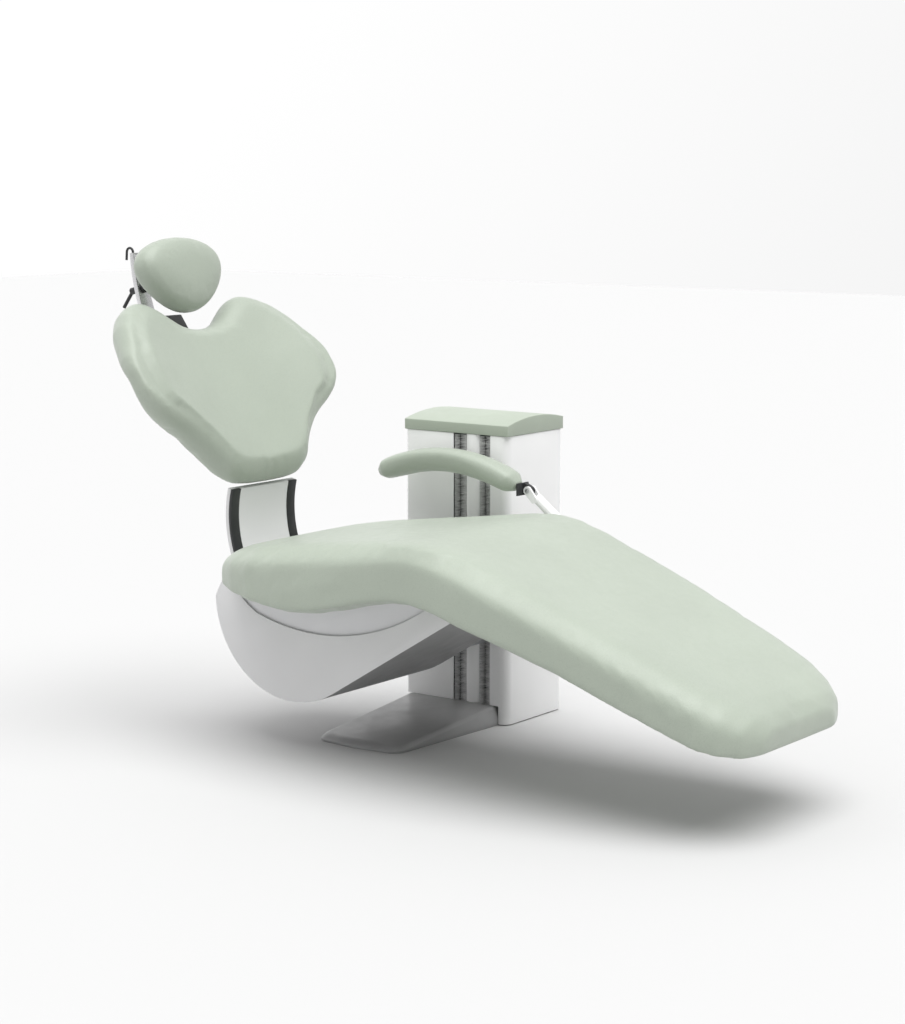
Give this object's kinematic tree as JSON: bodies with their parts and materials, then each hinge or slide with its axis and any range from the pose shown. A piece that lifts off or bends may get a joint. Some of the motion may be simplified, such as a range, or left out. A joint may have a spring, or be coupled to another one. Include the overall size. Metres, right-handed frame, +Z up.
{
  "type": "dental chair",
  "caption": "Reclining dental chair carried on a side lift column, with a folding armrest, a curved back support and a height-adjustable headrest on a heavy foot plate.",
  "frame": {"origin": "on the floor under the middle of the lift column", "axes": "+X towards the patient's feet, along the seat; +Y from the chair to the lift column; +Z up"},
  "size_m": [1.554, 0.772, 0.9637],
  "materials": {
    "column_paint": "white powder coat, slight orange peel",
    "plate_paint": "dark grey textured paint",
    "cap_plastic": "sage green moulded plastic",
    "shell_plastic": "light grey moulded plastic",
    "seat_pan_paint": "light grey painted sheet",
    "brush_fibre": "black brush fibre",
    "black_plastic": "black satin plastic",
    "belt_rubber": "black rubber",
    "frame_steel": "grey painted steel",
    "bright_steel": "ground bright steel",
    "alloy_plate": "plain aluminium sheet",
    "bronze": "sintered bronze",
    "motor_case": "dark moulded housing",
    "upholstery": "smooth sage vinyl cover over foam, weighed as foam"
  },
  "bodies": {
    "base": {"foot_plate": "plate_paint", "column_cover": "column_paint", "slot_divider": "column_paint", "slot_brush_1": "brush_fibre", "slot_brush_2": "brush_fibre", "slot_brush_3": "brush_fibre", "slot_brush_4": "brush_fibre", "column_cap": "cap_plastic", "mast_channel": "frame_steel", "mast_top_plate": "frame_steel", "guide_bar_head_side": "bright_steel", "guide_bar_foot_side": "bright_steel", "screw_bearing": "bright_steel", "lift_motor": "motor_case", "drive_belt": "belt_rubber", "control_box": "motor_case"},
    "lift_screw": {"lead_screw": "bright_steel", "screw_pulley": "bright_steel"},
    "motor_pulley": {"motor_pulley": "bright_steel"},
    "lift": {"lift_arm": "frame_steel", "guide_bush_head_side": "bronze", "guide_bush_foot_side": "bronze", "lift_nut": "bronze", "main_axle": "bright_steel", "lower_housing": "shell_plastic"},
    "tilt_actuator": {"tilt_actuator": "motor_case"},
    "tilt_rod": {"tilt_rod": "bright_steel"},
    "seat": {"seat_cushion": "upholstery", "seat_pan": "seat_pan_paint", "leg_rest_pan": "alloy_plate", "seat_rail_near": "frame_steel", "seat_rail_far": "frame_steel", "tilt_crossbar": "bright_steel", "recline_motor": "motor_case", "armrest_post": "column_paint", "armrest_hinge_pin": "bright_steel", "armrest_bracket": "frame_steel"},
    "recline_pinion": {"recline_pinion": "bright_steel"},
    "back": {"back_cushion": "upholstery", "back_core_plate": "alloy_plate", "back_shell": "shell_plastic", "back_support": "shell_plastic", "support_cover": "shell_plastic", "support_strip_near": "black_plastic", "support_strip_far": "black_plastic", "back_arm_near": "frame_steel", "back_arm_far": "frame_steel", "recline_sector": "bright_steel", "rear_shield": "shell_plastic", "headrest_guide": "black_plastic"},
    "headrest_bar": {"headrest_bar": "bright_steel", "headrest_hinge_pin": "bright_steel"},
    "headrest": {"headrest_bracket": "black_plastic", "headrest_pad": "upholstery"},
    "tilt_lever": {"tilt_release_lever": "black_plastic"},
    "height_clamp": {"clamp_knob": "black_plastic", "clamp_lever": "black_plastic"},
    "armrest": {"armrest_pad": "upholstery", "armrest_knuckle": "black_plastic"}
  },
  "joints": [
    {"name": "lift", "type": "slide", "parent": "base", "child": "lift", "axis": [0, 0, 1], "range_m": [0, 0.35]},
    {"name": "lift_screw_spin", "type": "hinge", "parent": "base", "child": "lift_screw", "pos_m": [0.0385, 0.04, 0.3], "axis": [0, 0, 1], "range_deg": [-5, 7890]},
    {"name": "motor_pulley_spin", "type": "hinge", "parent": "base", "child": "motor_pulley", "pos_m": [-0.072, 0.02, 0.046], "axis": [0, 0, 1], "range_deg": [-5, 7890]},
    {"name": "seat_tilt", "type": "hinge", "parent": "lift", "child": "seat", "pos_m": [-0.077, -0.394, 0.291], "axis": [0, -1, 0], "range_deg": [0, 8]},
    {"name": "tilt_actuator_swing", "type": "hinge", "parent": "lift", "child": "tilt_actuator", "pos_m": [0.093, -0.394, 0.19], "axis": [0, -1, 0], "range_deg": [-0.5, 10]},
    {"name": "tilt_rod_slide", "type": "slide", "parent": "tilt_actuator", "child": "tilt_rod", "axis": [0.6899, 0, 0.7239], "range_m": [-0.001, 0.03]},
    {"name": "recline", "type": "hinge", "parent": "seat", "child": "back", "pos_m": [-0.077, -0.394, 0.291], "axis": [0, -1, 0], "range_deg": [-2, 52]},
    {"name": "recline_pinion_spin", "type": "hinge", "parent": "seat", "child": "recline_pinion", "pos_m": [-0.077, -0.394, 0.201], "axis": [0, -1, 0], "range_deg": [-262, 12]},
    {"name": "headrest_height", "type": "hinge", "parent": "back", "child": "headrest_bar", "pos_m": [-0.173, -0.394, 0.955], "axis": [0, 1, 0], "range_deg": [-2, 10]},
    {"name": "headrest_tilt", "type": "hinge", "parent": "headrest_bar", "child": "headrest", "pos_m": [-0.54893, -0.394, 0.91549], "axis": [0, 1, 0], "range_deg": [-20, 15]},
    {"name": "tilt_lever_press", "type": "hinge", "parent": "headrest_bar", "child": "tilt_lever", "pos_m": [-0.58393, -0.394, 0.91905], "axis": [0, 1, 0], "range_deg": [0, 12], "stiffness_Nm_per_rad": 0.5},
    {"name": "height_clamp_turn", "type": "hinge", "parent": "headrest_bar", "child": "height_clamp", "pos_m": [-0.56145, -0.394, 0.85959], "axis": [-0.9711, 0, -0.2385], "range_deg": [0, 70]},
    {"name": "armrest_fold", "type": "hinge", "parent": "seat", "child": "armrest", "pos_m": [0.2, -0.14, 0.484], "axis": [0, 1, 0], "range_deg": [0, 95]}
  ],
  "couplings": [
    {"joint": "lift_screw_spin", "follows": "lift", "rad_per_m": 392.7},
    {"joint": "motor_pulley_spin", "follows": "lift", "rad_per_m": 392.7},
    {"joint": "tilt_actuator_swing", "follows": "seat_tilt", "ratio": 1.1499},
    {"joint": "tilt_rod_slide", "follows": "seat_tilt", "m_per_rad": 0.19552},
    {"joint": "recline_pinion_spin", "follows": "recline", "ratio": -5}
  ]
}
